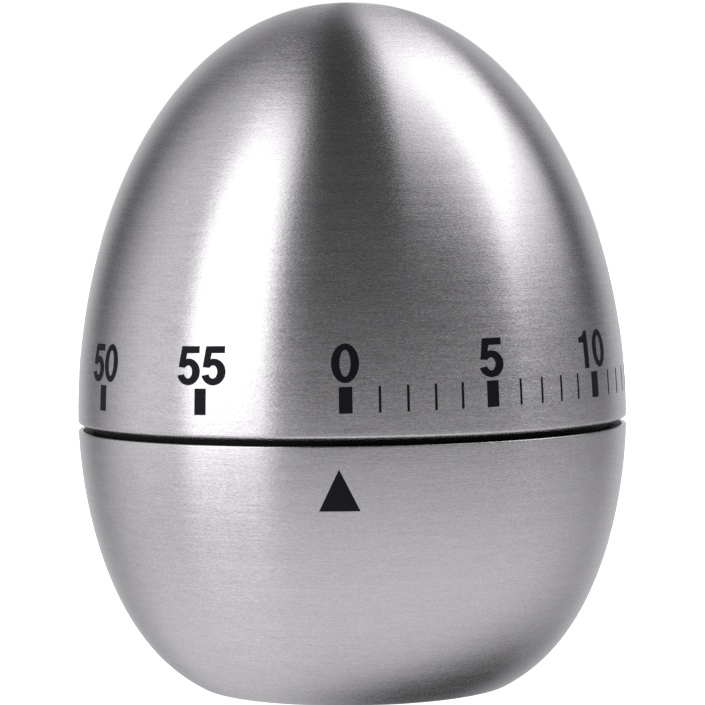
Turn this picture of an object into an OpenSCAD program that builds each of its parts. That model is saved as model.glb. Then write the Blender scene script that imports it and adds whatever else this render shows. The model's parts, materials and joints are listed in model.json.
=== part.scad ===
// Egg-shaped clockwork kitchen timer: a steel dome that turns as the dial on a steel bowl.
// Millimetres. Origin on the table under the middle, +Z up, the pointer side faces -Y.

/* [Case] */
// Largest diameter of the egg
case_d = 60; // [60:0.1:61]
// Height of the widest line above the table
waist_z = 29.8; // [29.7:0.05:29.9]
// Height of the whole timer
total_h = 74.9; // [74.2:0.1:77.2]
// Top edge of the lower shell
rim_z = 28.7; // [28.6:0.05:28.75]
// Open gap between the two shells
shell_gap = 0.8; // [0.7:0.05:0.9]
// Thickness of the steel sheet of both shells
sheet_t = 0.5; // [0.4:0.05:0.5]
// Outer radius of the dome's rolled lower edge
lip_r = 1.35; // [1.2:0.05:1.4]
// Wall of the black inner cup
cup_t = 1.2; // [1:0.1:1.3]
// Top of the black collar that fills the gap
collar_top = 31.4; // [31:0.1:31.5]

/* [Base] */
// Height of the lower shell's flat above the table
shell_foot_z = 0.3; // [0.2:0.1:0.4]
// Radius of the round opening in the lower shell
base_hole_r = 12; // [11.9:0.1:12.1]
// Underside of the cup's floor
floor_z = 1.3; // [1.2:0.1:1.3]
// Outer radius of the rubber foot ring
foot_r = 11.2; // [10.8:0.1:11.3]
// Width of the rubber foot ring
foot_w = 1.6; // [1.2:0.1:1.8]
// Depth of the groove that holds the foot ring
foot_groove = 0.4; // [0.3:0.1:0.5]

/* [Plates] */
// Underside of the lower movement plate
low_plate_z = 10.7; // [10.6:0.1:10.8]
// Underside of the upper movement plate
high_plate_z = 25.2; // [25.2:0.1:25.3]
// Thickness of both plates
plate_t = 1; // [0.9:0.05:1]
// Radius of both plates
plate_r = 23; // [22.6:0.1:23]

/* [Train] */
// Teeth of the main wheel
main_teeth = 60; // [60]
// Leaves of the second pinion
second_leaves = 10; // [10]
// Teeth of the second wheel
second_teeth = 64; // [64]
// Leaves of the third pinion
third_leaves = 8; // [8]
// Teeth of the third wheel
third_teeth = 56; // [56]
// Leaves of the escape pinion
escape_leaves = 8; // [8]
// Tooth module of the main wheel and its pinion
coarse_module = 0.4; // [0.4]
// Tooth module of the finer wheels and pinions
fine_module = 0.3; // [0.3]
// Points of the escape wheel
escape_points = 15; // [15]
// Points of the striking star
star_points = 12; // [12]
// Radius of the escape wheel
escape_r = 5; // [4.9:0.05:5]
// Radius of the striking star
star_r = 3.5; // [3.4:0.05:3.5]

/* [Bell] */
// Outer radius of the bell's rim
bell_r = 16.2; // [16.2:0.05:16.4]
// Height of the bell
bell_h = 6.8; // [6.6:0.1:6.8]
// Thickness of the bell metal
bell_t = 0.8; // [0.7:0.05:0.8]

/* [Spring] */
// Outer radius of the spring barrel
barrel_r = 13; // [12.8:0.1:13]
// Turns of the mainspring strip
spring_turns = 8; // [6:1:9]
// Thickness of the mainspring strip
spring_t = 0.35; // [0.3:0.05:0.4]

/* [Hidden] */
$fn = 64;

// Case curves: a rounded bowl below the waist and a tall dome above it
case_r = case_d / 2;
bowl_drop = 31.8;
bowl_fall = 1.83;
bowl_round = 3.54;
dome_fall = 1.976;
dome_round = 2.133;
dome_h = total_h - waist_z;
lip_z = rim_z + shell_gap;
cone_z = 0.9;
foot_blend = 0.5;
bowl_steps = 20;
dome_steps = 26;
fit_gap = 0.05;
run_gap = 0.05;
side_gap = 0.3;
overlap = 0.4;
cut = 1;

function bowl_r(z) = case_r * pow(1 - pow((waist_z - z) / bowl_drop, bowl_fall), 1 / bowl_round);
function dome_r(z) = case_r * pow(1 - pow((z - waist_z) / dome_h, dome_fall), 1 / dome_round);
function polar(r, a) = [r * cos(a), r * sin(a)];
function bend(a, b, c, t) = (1 - t) * (1 - t) * a + 2 * t * (1 - t) * b + t * t * c;
function flip(list) = [for (i = [len(list) - 1:-1:0]) list[i]];

// The cone that leads from the bowl's curve to its flat foot
cone_slope = (bowl_r(cone_z + 0.01) - bowl_r(cone_z - 0.01)) / 0.02;
foot_corner = bowl_r(cone_z) - (cone_z - shell_foot_z) * cone_slope;
foot_flat = foot_corner - foot_blend;
foot_end = [foot_corner + foot_blend, shell_foot_z + foot_blend / cone_slope];

foot_path = [for (t = [0:0.25:1])
    bend([foot_flat, shell_foot_z], [foot_corner, shell_foot_z], foot_end, t)];
bowl_path = [for (i = [0:bowl_steps])
    let (z = cone_z + (rim_z - cone_z) * pow(i / bowl_steps, 1.4)) [bowl_r(z), z]];
lower_path = concat([[base_hole_r, shell_foot_z]], foot_path, bowl_path);

lip_top = lip_z + lip_r;
lip_x = dome_r(lip_top) - lip_r;
lip_path = [for (a = [-90:15:-15]) [lip_x, lip_top] + polar(lip_r, a)];
dome_path = [for (i = [0:dome_steps - 1])
    let (z = lip_top + (total_h - lip_top) * sin(90 * i / dome_steps)) [dome_r(z), z]];
upper_path = concat(lip_path, dome_path);

// Points of a path moved inwards by a depth, square to the path
function run_at(path, i) = path[min(i + 1, len(path) - 1)] - path[max(i - 1, 0)];
function side_at(path, i) = let (run = run_at(path, i)) [run.y, -run.x] / norm(run);
function inset(path, depth) = [for (i = [0:len(path) - 1]) path[i] - depth * side_at(path, i)];

// Cup inside the bowl
cup_gap = sheet_t + fit_gap;
cup_depth = cup_gap + cup_t;
cup_top = rim_z - 0.1;
floor_t = 0.9;
floor_top = floor_z + floor_t;
floor_hole_r = 6.5;
collar_r = 28.2;
collar_in = collar_r - cup_t;
boss_angles = [120, 200, 300];
boss_at = 25.3;
boss_r = 1.9;
boss_hole_r = 0.9;
boss_hole_z = 16.2;
boss_web_t = 1.2;
boss_web = 4;

// Base cover, its screws and its sound slots
cover_r = base_hole_r - side_gap;
cover_z = 0.4;
base_screw_at = 8;
base_screw_angles = [60, 180, 300];
base_screw_r = 0.8;
base_head_r = 1.4;
base_head_h = 0.5;
base_screw_over = 0.2;
slot_rings = [3, 5];
slot_w = 0.9;
slot_arc = 80;
slot_count = 3;
driver_w = 0.4;
driver_deep = 0.3;

// Places of the arbors, each found from the wheel sizes
second_at = coarse_module * (main_teeth + second_leaves) / 2;
third_at = 13.6;
escape_at = 14;
balance_at = 14;
third_centre = fine_module * (second_teeth + third_leaves) / 2;
escape_centre = fine_module * (third_teeth + escape_leaves) / 2;
balance_centre = 7.25;

function turn_between(r1, r2, gap) = acos((r1 * r1 + r2 * r2 - gap * gap) / (2 * r1 * r2));

second_angle = 0;
third_angle = second_angle + turn_between(second_at, third_at, third_centre);
escape_angle = third_angle + turn_between(third_at, escape_at, escape_centre);
balance_angle = escape_angle + turn_between(escape_at, balance_at, balance_centre);
second_pos = polar(second_at, second_angle);
third_pos = polar(third_at, third_angle);
escape_pos = polar(escape_at, escape_angle);
balance_pos = polar(balance_at, balance_angle);
hammer_pos = polar(10.5, -50);
trip_pos = polar(13, -140);
head_pos = polar(13.4, -100);
knee_pos = second_pos + polar(5.6, -75);
beak_angle = -40;
beak_r = 0.35;
beak_pos = second_pos + polar(star_r + side_gap + beak_r, beak_angle);
nose_r = 0.6;
nose_pos = polar(6.95, -165);
stop_pos = [-4.8, -9.4];

function heading(from, to) = atan2(to.y - from.y, to.x - from.x);

// Levels of the wheels between the plates
low_top = low_plate_z + plate_t;
high_top = high_plate_z + plate_t;
strike_z = 12.4;
strike_t = 1;
pallet_z = 13.8;
pallet_t = 0.6;
third_wheel_z = 15.2;
balance_z = 17.2;
second_wheel_z = 18.2;
main_wheel_z = 22;
thin_wheel_t = 0.7;
main_wheel_t = 1;
pinion_over = 0.8;
collar_z = main_wheel_z + main_wheel_t;

// Teeth: root depths as shares of the module, half widths as shares of the pitch from root to tip
wheel_root = 1.3;
leaf_root = 1.5;
wheel_shares = [0.21, 0.19, 0.135, 0.05];
leaf_shares = [0.16, 0.17, 0.13, 0.06];
star_shares = [0.3, 0.05];
star_tooth = 1;
escape_shares = [0.2, 0.04];
escape_tooth = 1.3;
escape_hole_r = 0.7;
escape_hole_at = 2.2;
wheel_rim = 0.9;
spoke_w = 1;
spokes = 5;
main_hub_r = 4.4;
second_hub_r = 2.4;
third_hub_r = 2.2;
sleeve_r = 1.6;

// Clutch and trip cam on the main arbor
clutch_t = 0.5;
clutch_r = 2.9;
clutch_arms = 3;
clutch_arm_w = 1.4;
clutch_arm_at = 3.7;
clutch_hub_r = 3.2;
cam_r = 6;
cam_hub_h = 1.3;
notch_angle = -166;
notch_w = 3.3;
notch_deep = 1;

// Arbors and their pivots
arbor_r = 0.6;
second_arbor_r = 0.7;
pivot_r = 0.45;
pivot_end = 0.1;
shoulder_gap = 0.3;
main_arbor_r = 2;
main_pivot_r = 1.2;
main_pivot_z = 10.8;
main_arbor_top = 39.2;
d_flat_x = 1.5;
bush_r = 3.2;
post_r = 1.8;
post_seat_r = 2.4;
post_flange_r = 3.4;
post_low = 3.4;
post_flange_t = 0.8;
bush_over = 0.3;
stud_r = 0.8;
stud_head_r = 1.3;
stud_head_z = 14.2;
stud_head_t = 0.6;
hub_low = low_top + side_gap;
hub_top = stud_head_z - side_gap;
lever_hub_r = 1.7;
arm_w = 1.6;
knee_w = 1.2;

// Balance with its pallets: the pins stand one and a half tooth pitches to each side
pin_r = 0.35;
pin_at = escape_r + 0.2 + pin_r;
pin_spots = [for (side = [-1, 1]) escape_pos
    + polar(pin_at, heading(escape_pos, balance_pos) + side * 1.5 * 360 / escape_points)];
pallet_w = 1.2;
pallet_hub_r = 1.5;
pallet_sleeve_r = 1.4;
balance_r = 5.4;
balance_t = 1.2;
balance_rim = 1;

// Pillars and nuts
pillar_angles = [78, 160, 239, 318];
pillar_at = 21;
pillar_r = 1.5;
screw_r = 0.9;
nut_r = 1.9;
nut_t = 1.2;
plate_head_r = 1.7;
plate_head_t = 1;
ear_w = 3.4;
ear_in = 4;

// Bell and hammer
bell_z = 2.6;
bell_flat_r = 9;
bell_wall = 1.7;
bell_screw_head_t = 0.8;
bell_screw_head_r = 2.2;
bell_screw_top = 7.2;
head_r = 1.25;
head_z = 6.4;
head_h = 2.4;
hammer_pin_r = 0.6;
slot_r = 1.1;
slot_reach = 1.3;
spring_root = [1.8, 2.8];
spring_tip = [7, 2.1];
spring_leaf_t = 0.3;
spring_leaf_h = 1.4;

// Spring barrel
barrel_t = 0.6;
barrel_top = 31.6;
barrel_flange_r = 15;
barrel_hole_r = 3;
barrel_screw_at = 14;
barrel_screw_angles = [66, 186, 306];
barrel_screw_r = 0.5;
barrel_head_r = 0.9;
barrel_head_t = 0.6;
spring_in = 2.6;
spring_out = barrel_r - barrel_t - 0.4;
spring_z = 27;
spring_h = 3.6;
spring_steps = 20;

// Carrier inside the dome
carrier_z = 32.1;
carrier_t = 1.2;
carrier_rim_top = 38.2;
carrier_rim_t = 1.2;
carrier_hub_r = 4.5;
carrier_hub_top = 39.7;
carrier_ribs = 6;
rib_t = 1.2;
rib_h = 3;

module rod(r, low, high) {
    translate([0, 0, low]) cylinder(r = r, h = high - low);
}

module tube(outer, inner, low, high) {
    difference() {
        rod(outer, low, high);
        rod(inner, low - 1, high + 1);
    }
}

module plate(low, thick) {
    translate([0, 0, low]) linear_extrude(thick) children();
}

module at(p) {
    translate([p.x, p.y, 0]) children();
}

// A flat bar with round ends between two points
module link(from, to, width) {
    at(from) circle(d = width);
    at(to) circle(d = width);
    at(from) rotate(heading(from, to)) translate([0, -width / 2]) square([norm(to - from), width]);
}

// A toothed outline from the tooth's half widths, given as shares of the pitch at rising radii
function teeth(count, radii, shares) = [for (i = [0:count - 1])
    let (pitch = 360 / count)
    for (p = concat(
        [for (k = [0:len(radii) - 1]) polar(radii[k], pitch * (i - shares[k]))],
        [for (k = [len(radii) - 1:-1:0]) polar(radii[k], pitch * (i + shares[k]))])) p];

module wheel_teeth(count, size) {
    pitch_r = size * count / 2;
    radii = [pitch_r - wheel_root * size, pitch_r, pitch_r + 0.6 * size, pitch_r + size];
    polygon(teeth(count, radii, wheel_shares));
}

module pinion_teeth(count, size) {
    pitch_r = size * count / 2;
    radii = [pitch_r - leaf_root * size, pitch_r, pitch_r + 0.42 * size, pitch_r + 0.7 * size];
    polygon(teeth(count, radii, leaf_shares));
}

// A spoked clock wheel with a round rim under its teeth
module wheel(count, size, hub_r, bore_r, mesh_angle) {
    rim_in = size * count / 2 - wheel_root * size - wheel_rim;
    difference() {
        union() {
            difference() {
                rotate(mesh_angle) wheel_teeth(count, size);
                circle(rim_in);
            }
            circle(hub_r);
            for (i = [0:spokes - 1])
                rotate(i * 360 / spokes) translate([0, -spoke_w / 2])
                    square([rim_in + overlap, spoke_w]);
        }
        circle(bore_r);
    }
}

// An arbor with a shoulder and a pivot at each plate
module arbor(r) {
    rod(r, low_top + shoulder_gap, high_plate_z - shoulder_gap);
    rod(pivot_r, low_plate_z + pivot_end, high_top - pivot_end);
}

module lower_shell() {
    color("silver") rotate_extrude($fn = 180)
        polygon(concat(lower_path, flip(inset(lower_path, sheet_t))));
}

// Cup outline between two depths of the bowl's curve, with a flat floor and the collar on top
module cup_outline() {
    outer = inset(bowl_path, cup_gap);
    inner = inset(bowl_path, cup_depth);
    low_out = [outer[0].x - (outer[0].y - floor_z) * cone_slope, floor_z];
    low_in = [inner[0].x - (inner[0].y - floor_top) * cone_slope, floor_top];
    last = len(outer) - 2;
    polygon(concat(
        [[floor_hole_r, floor_z], low_out],
        [for (i = [0:last]) outer[i]],
        [[outer[last + 1].x, cup_top], [collar_r, cup_top], [collar_r, collar_top],
            [collar_in, collar_top], [collar_in, cup_top - cup_t],
            [inner[last].x, cup_top - cup_t]],
        [for (i = [last - 1:-1:0]) inner[i]],
        [low_in, [floor_hole_r, floor_top]]));
}

// The solid space inside the cup's outer face, which trims the screw bosses
module cup_inside() {
    outer = inset(bowl_path, cup_gap + cup_t / 2);
    polygon(concat([[0, floor_top - overlap / 2]], [for (p = outer) if (p.y > floor_top) p],
        [[0, outer[len(outer) - 1].y]]));
}

module base_cup() {
    color("black") difference() {
        union() {
            rotate_extrude($fn = 180) cup_outline();
            intersection() {
                rotate_extrude($fn = 180) cup_inside();
                for (a = boss_angles) rotate(a) translate([boss_at, 0, 0]) {
                    rod(boss_r, floor_top - overlap / 2, high_plate_z);
                    translate([0, -boss_web_t / 2, floor_top])
                        cube([boss_web, boss_web_t, high_plate_z - floor_top]);
                }
            }
        }
        for (a = boss_angles) rotate(a) translate([boss_at, 0, 0])
            rod(boss_hole_r, boss_hole_z, high_plate_z + 1);
        for (a = base_screw_angles) at(polar(base_screw_at, a))
            rod(base_screw_r, floor_z - 1, floor_top + 1);
    }
}

module arc_slot(r, width, arc) {
    rotate(-arc / 2) rotate_extrude(angle = arc) translate([r - width / 2, 0]) square([width, 4]);
}

module base_cover() {
    color("black") difference() {
        rod(cover_r, cover_z, floor_z);
        tube(foot_r, foot_r - foot_w, cover_z - 1, cover_z + foot_groove);
        for (a = base_screw_angles) at(polar(base_screw_at, a)) {
            rod(base_screw_r, cover_z - 1, floor_z + 1);
            rod(base_head_r, cover_z - 1, cover_z + base_head_h);
        }
        for (r = slot_rings) for (i = [0:slot_count - 1])
            rotate(i * 360 / slot_count) translate([0, 0, cover_z - 1]) arc_slot(r, slot_w, slot_arc);
    }
}

module foot_ring() {
    color("dimgray") tube(foot_r, foot_r - foot_w, 0, cover_z + foot_groove);
}

// A pan-head screw, head down
module screw_up(r, head, low, seat, top) {
    difference() {
        union() {
            rod(head, low, seat);
            rod(r, low, top);
        }
        translate([-head, -driver_w / 2, low + driver_deep - cut]) cube([2 * head, driver_w, cut]);
    }
}

// A pan-head screw, head up
module screw_down(r, head, low, seat, top) {
    difference() {
        union() {
            rod(head, seat, top);
            rod(r, low, top);
        }
        translate([-head, -driver_w / 2, top - driver_deep]) cube([2 * head, driver_w, cut]);
    }
}

module base_screws() {
    color("silver") for (a = base_screw_angles) at(polar(base_screw_at, a))
        screw_up(base_screw_r, base_head_r - fit_gap, cover_z + 0.1, cover_z + base_head_h,
            floor_top + base_screw_over);
}

module pivot_holes() {
    for (p = [second_pos, third_pos, escape_pos, balance_pos]) at(p) circle(pivot_r + run_gap);
    for (a = pillar_angles) at(polar(pillar_at, a)) circle(screw_r);
}

module bottom_plate() {
    swing = heading(hammer_pos, head_pos) + 90;
    color("goldenrod") plate(low_plate_z, plate_t) difference() {
        circle(plate_r);
        pivot_holes();
        circle(post_seat_r);
        for (p = [hammer_pos, trip_pos]) at(p) circle(stud_r);
        link(head_pos - polar(slot_reach, swing), head_pos + polar(slot_reach, swing), 2 * slot_r);
    }
}

module top_plate() {
    color("goldenrod") plate(high_plate_z, plate_t) difference() {
        union() {
            circle(plate_r);
            for (a = boss_angles) {
                at(polar(boss_at, a)) circle(boss_r);
                rotate(a) translate([plate_r - ear_in, -ear_w / 2]) square([ear_in + 2, ear_w]);
            }
        }
        pivot_holes();
        circle(bush_r);
        for (a = boss_angles) at(polar(boss_at, a)) circle(boss_hole_r);
        for (a = barrel_screw_angles) at(polar(barrel_screw_at, a)) circle(barrel_screw_r);
    }
}

module plate_pillars() {
    color("khaki") for (a = pillar_angles) at(polar(pillar_at, a)) {
        rod(pillar_r, low_top, high_plate_z);
        rod(screw_r, low_plate_z - nut_t, high_top + nut_t + 0.2);
    }
}

module plate_nuts() {
    color("silver") for (a = pillar_angles) at(polar(pillar_at, a))
        for (z = [low_plate_z - nut_t, high_top]) difference() {
            translate([0, 0, z]) cylinder(r = nut_r, h = nut_t, $fn = 6);
            rod(screw_r, z - 1, z + nut_t + 1);
        }
}

module movement_screws() {
    color("silver") for (a = boss_angles) at(polar(boss_at, a))
        screw_down(boss_hole_r, plate_head_r, boss_hole_z + 0.5, high_top, high_top + plate_head_t);
}

module centre_post() {
    color("silver") difference() {
        union() {
            rod(post_seat_r, low_plate_z - post_flange_t, low_top);
            rod(post_flange_r, low_plate_z - post_flange_t, low_plate_z);
            rod(post_r, post_low, low_plate_z);
        }
        rod(main_pivot_r + run_gap, main_pivot_z - 0.2, low_top + 1);
        rod(screw_r, post_low - 1, bell_screw_top);
    }
}

module bell_outline(inset_by) {
    flat = bell_flat_r - inset_by / 2;
    rise = bell_h - bell_wall - inset_by;
    reach = bell_r - inset_by - flat;
    foot = bell_z + inset_by;
    polygon(concat(
        [[0, foot]],
        [for (a = [-90:10:0]) [flat + reach * cos(a), foot + rise * (1 + sin(a))]],
        [[bell_r - inset_by, bell_z + bell_h + inset_by], [0, bell_z + bell_h + inset_by]]));
}

module bell() {
    color("lightsteelblue") rotate_extrude($fn = 120) difference() {
        bell_outline(0);
        bell_outline(bell_t);
        translate([0, bell_z - 1]) square([screw_r, 3]);
    }
}

module bell_screw() {
    color("silver") screw_up(screw_r, bell_screw_head_r, bell_z - bell_screw_head_t, bell_z,
        bell_screw_top - 0.4);
}

module lever_studs() {
    color("silver") for (p = [hammer_pos, trip_pos]) at(p) {
        rod(stud_r, low_plate_z, stud_head_z);
        rod(stud_head_r, stud_head_z, stud_head_z + stud_head_t);
    }
}

module hammer_spring() {
    along = polar(1, heading(hammer_pos, head_pos));
    inward = [along.y, -along.x];
    root_pos = hammer_pos + spring_root.x * along + spring_root.y * inward;
    tip_pos = hammer_pos + spring_tip.x * along + spring_tip.y * inward;
    color("silver") {
        at(root_pos) rod(stud_r, low_top, strike_z + strike_t + overlap);
        plate(low_top + side_gap, spring_leaf_h) link(root_pos, tip_pos, spring_leaf_t);
    }
}

module top_bush() {
    color("goldenrod") tube(bush_r, main_arbor_r + run_gap, high_plate_z - 0.1, high_top + bush_over);
}

module spring_barrel() {
    color("gainsboro") difference() {
        union() {
            rod(barrel_r, high_top, barrel_top);
            rod(barrel_flange_r, high_top, high_top + barrel_t);
        }
        rod(barrel_r - barrel_t, high_top - 1, barrel_top - barrel_t);
        rod(barrel_hole_r, high_top, barrel_top + 1);
        for (a = barrel_screw_angles) at(polar(barrel_screw_at, a))
            rod(barrel_screw_r, high_top - 1, high_top + barrel_t + 1);
    }
}

module barrel_screws() {
    color("silver") for (a = barrel_screw_angles) at(polar(barrel_screw_at, a))
        screw_down(barrel_screw_r, barrel_head_r, high_plate_z, high_top + barrel_t,
            high_top + barrel_t + barrel_head_t);
}

module mainspring() {
    steps = spring_steps * spring_turns;
    step_angle = 360 / spring_steps;
    function strip_r(i) = spring_in + (spring_out - spring_in - spring_t) * i / steps;
    color("steelblue") plate(spring_z, spring_h) polygon(concat(
        [for (i = [0:steps]) polar(strip_r(i), step_angle * i)],
        [for (i = [steps:-1:0]) polar(strip_r(i) + spring_t, step_angle * i)]));
}

module upper_shell() {
    color("silver") rotate_extrude($fn = 180) polygon(concat(
        upper_path, [[0, total_h], [0, total_h - sheet_t]], flip(inset(upper_path, sheet_t))));
}

// The arbor's section: round, with a flat where the carrier grips it
module d_section() {
    difference() {
        circle(main_arbor_r);
        translate([d_flat_x, -main_arbor_r]) square(2 * main_arbor_r);
    }
}

module dial_carrier() {
    near = inset(dome_path, cup_gap);
    rim = [for (p = near) if (p.y > carrier_z && p.y < carrier_rim_top) p];
    first = rim[0];
    final = rim[len(rim) - 1];
    color("black") difference() {
        union() {
            rotate_extrude($fn = 180) polygon(concat(
                [[0, carrier_z], [first.x, carrier_z]], rim,
                [[final.x - carrier_rim_t, final.y],
                    [first.x - carrier_rim_t, carrier_z + carrier_t], [0, carrier_z + carrier_t]]));
            rod(carrier_hub_r, carrier_z, carrier_hub_top);
            for (i = [0:carrier_ribs - 1]) rotate((i + 0.5) * 360 / carrier_ribs)
                translate([carrier_hub_r - 0.5, -rib_t / 2, carrier_z + 0.5])
                    cube([first.x - carrier_hub_r - 0.4, rib_t, rib_h]);
        }
        plate(carrier_z - 1, main_arbor_top - carrier_z + 1) d_section();
    }
}

module main_arbor() {
    color("silver") {
        rod(main_pivot_r, main_pivot_z, low_top + shoulder_gap);
        rod(main_arbor_r, low_top + shoulder_gap, carrier_z);
        plate(carrier_z, main_arbor_top - carrier_z) d_section();
    }
}

module main_wheel() {
    color("gold") plate(main_wheel_z, main_wheel_t)
        wheel(main_teeth, coarse_module, main_hub_r, main_arbor_r, 0);
}

module clutch_spring() {
    color("steelblue") plate(collar_z, clutch_t) difference() {
        union() {
            circle(clutch_r);
            for (i = [0:clutch_arms - 1])
                link([0, 0], polar(clutch_arm_at, 360 / clutch_arms * i + 30), clutch_arm_w);
        }
        circle(main_arbor_r);
    }
}

module clutch_collar() {
    color("goldenrod") tube(clutch_hub_r, main_arbor_r, collar_z + clutch_t, high_plate_z - 0.4);
}

module trip_cam() {
    color("gold") {
        plate(strike_z, strike_t) difference() {
            circle(cam_r);
            circle(main_arbor_r);
            rotate(notch_angle) translate([cam_r - notch_deep, -notch_w / 2])
                square([notch_deep + cut, notch_w]);
        }
        tube(clutch_hub_r, main_arbor_r, strike_z + strike_t, strike_z + strike_t + cam_hub_h);
    }
}

module second_arbor() {
    mesh = heading(second_pos, [0, 0]) + 180 / second_leaves;
    color("silver") at(second_pos) {
        arbor(second_arbor_r);
        plate(main_wheel_z - pinion_over, main_wheel_t + 2 * pinion_over)
            rotate(mesh) pinion_teeth(second_leaves, coarse_module);
    }
}

module second_wheel() {
    color("gold") at(second_pos) {
        plate(second_wheel_z, thin_wheel_t)
            wheel(second_teeth, fine_module, second_hub_r, second_arbor_r,
                heading(second_pos, third_pos));
        tube(sleeve_r, second_arbor_r, second_wheel_z + thin_wheel_t,
            second_wheel_z + 2 * thin_wheel_t);
    }
}

module strike_star() {
    color("khaki") at(second_pos) {
        plate(strike_z, strike_t) difference() {
            rotate(beak_angle + 180 / star_points)
                polygon(teeth(star_points, [star_r - star_tooth, star_r], star_shares));
            circle(second_arbor_r);
        }
        tube(sleeve_r, second_arbor_r, strike_z + strike_t, strike_z + 2 * strike_t);
    }
}

module third_arbor() {
    mesh = heading(third_pos, second_pos) + 180 / third_leaves;
    color("silver") at(third_pos) {
        arbor(arbor_r);
        plate(second_wheel_z - pinion_over, thin_wheel_t + 2 * pinion_over)
            rotate(mesh) pinion_teeth(third_leaves, fine_module);
    }
}

module third_wheel() {
    color("gold") at(third_pos) plate(third_wheel_z, thin_wheel_t)
        wheel(third_teeth, fine_module, third_hub_r, arbor_r, heading(third_pos, escape_pos));
}

module escape_arbor() {
    mesh = heading(escape_pos, third_pos) + 180 / escape_leaves;
    color("silver") at(escape_pos) {
        arbor(arbor_r);
        plate(third_wheel_z - pinion_over, thin_wheel_t + 2 * pinion_over)
            rotate(mesh) pinion_teeth(escape_leaves, fine_module);
    }
}

module escape_wheel() {
    color("gold") at(escape_pos) plate(strike_z, strike_t) difference() {
        rotate(heading(escape_pos, balance_pos))
            polygon(teeth(escape_points, [escape_r - escape_tooth, escape_r], escape_shares));
        circle(arbor_r);
        for (i = [0:spokes - 1]) at(polar(escape_hole_at, 360 / spokes * i)) circle(escape_hole_r);
    }
}

module balance_arbor() {
    color("silver") at(balance_pos) arbor(arbor_r);
}

module pallet_lever() {
    color("khaki") {
        plate(pallet_z, pallet_t) difference() {
            union() {
                for (p = pin_spots) link(balance_pos, p, pallet_w);
                at(balance_pos) circle(pallet_hub_r);
            }
            at(balance_pos) circle(arbor_r);
            for (p = pin_spots) at(p) circle(pin_r);
        }
        at(balance_pos)
            tube(pallet_sleeve_r, arbor_r, pallet_z + pallet_t, pallet_z + 3 * pallet_t);
    }
}

module pallet_pins() {
    color("silver") for (p = pin_spots) at(p) rod(pin_r, strike_z - 0.2, pallet_z + pallet_t);
}

module balance_wheel() {
    bar = balance_r - overlap;
    color("gold") at(balance_pos) plate(balance_z, balance_t) difference() {
        union() {
            difference() {
                circle(balance_r);
                circle(balance_r - balance_rim);
            }
            rotate(balance_angle) translate([-bar, -balance_t / 2]) square([2 * bar, balance_t]);
            circle(sleeve_r);
        }
        circle(arbor_r);
    }
}

module hammer_lever() {
    color("silver") difference() {
        union() {
            plate(strike_z, strike_t) {
                link(hammer_pos, head_pos, arm_w);
                link(hammer_pos, knee_pos, knee_w);
                link(knee_pos, beak_pos, 2 * beak_r);
                at(head_pos) circle(knee_w);
            }
            at(hammer_pos) rod(lever_hub_r, hub_low, hub_top);
        }
        at(hammer_pos) rod(stud_r + run_gap, hub_low - 1, hub_top + 1);
        at(head_pos) rod(hammer_pin_r, strike_z - 1, strike_z + strike_t + 1);
    }
}

module hammer_pin() {
    color("silver") at(head_pos) rod(hammer_pin_r, head_z, strike_z + strike_t);
}

module hammer_head() {
    color("goldenrod") at(head_pos) tube(head_r, hammer_pin_r, head_z, head_z + head_h);
}

module trip_lever() {
    color("silver") difference() {
        union() {
            plate(strike_z, strike_t) {
                link(trip_pos, nose_pos, 2 * nose_r);
                link(trip_pos, stop_pos, arm_w);
            }
            at(trip_pos) rod(lever_hub_r, hub_low, hub_top);
        }
        at(trip_pos) rod(stud_r + run_gap, hub_low - 1, hub_top + 1);
    }
}

lower_shell();
base_cup();
base_cover();
foot_ring();
base_screws();
bottom_plate();
top_plate();
plate_pillars();
plate_nuts();
movement_screws();
centre_post();
bell();
bell_screw();
lever_studs();
hammer_spring();
top_bush();
spring_barrel();
barrel_screws();
mainspring();
upper_shell();
dial_carrier();
main_arbor();
main_wheel();
clutch_spring();
clutch_collar();
trip_cam();
second_arbor();
second_wheel();
strike_star();
third_arbor();
third_wheel();
escape_arbor();
escape_wheel();
balance_arbor();
pallet_lever();
pallet_pins();
balance_wheel();
hammer_lever();
hammer_pin();
hammer_head();
trip_lever();
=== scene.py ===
"""Egg-shaped clockwork kitchen timer: its finishes, printed scale and studio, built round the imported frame."""

import json
import logging
import math
from dataclasses import dataclass, field
from enum import Enum
from typing import Any, Iterable, Sequence

import bmesh
import bpy
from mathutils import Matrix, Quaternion, Vector

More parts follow.
